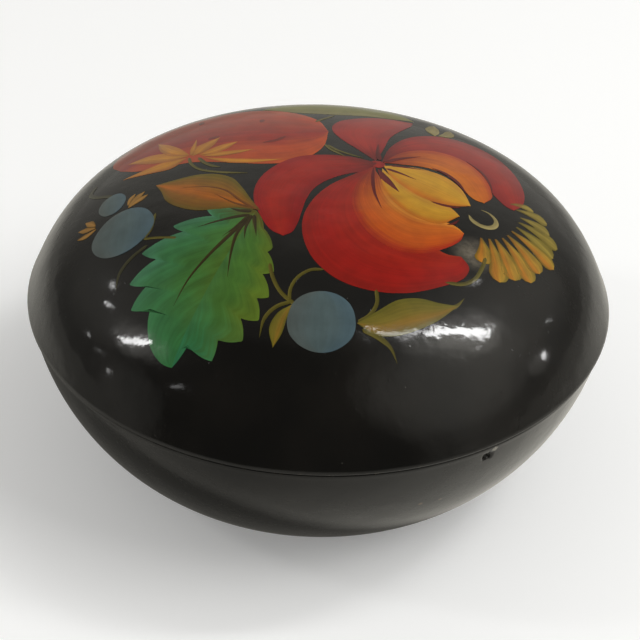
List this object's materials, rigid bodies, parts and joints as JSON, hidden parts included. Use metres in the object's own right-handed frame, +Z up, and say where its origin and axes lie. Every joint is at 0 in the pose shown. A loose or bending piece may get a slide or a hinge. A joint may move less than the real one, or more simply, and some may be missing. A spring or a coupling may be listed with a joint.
{
  "type": "lidded lacquer bowl",
  "caption": "Round lidded bowl in black lacquer: domed painted lid that lifts off a locating collar glued in a deep flat-footed bowl.",
  "frame": {"origin": "centre of the underside, on the plane it stands on", "axes": "+Z up the axis of turning, through the top of the lid; -Y is the side of the painted ornament that faces the viewer"},
  "size_m": [0.15, 0.15, 0.0773],
  "materials": {
    "black_lacquer": "gloss black lacquer over a wood or pulp core",
    "red_lacquer": "satin red lacquer",
    "ornament_paint": "brushed paint under clear gloss lacquer"
  },
  "bodies": {
    "bowl": {"bowl": "black_lacquer", "locating_collar": "red_lacquer"},
    "lid": {"lid": "black_lacquer"}
  },
  "joints": [
    {"name": "lid_lift", "type": "slide", "parent": "bowl", "child": "lid", "axis": [0, 0, 1], "range_m": [0, 0.04]}
  ]
}
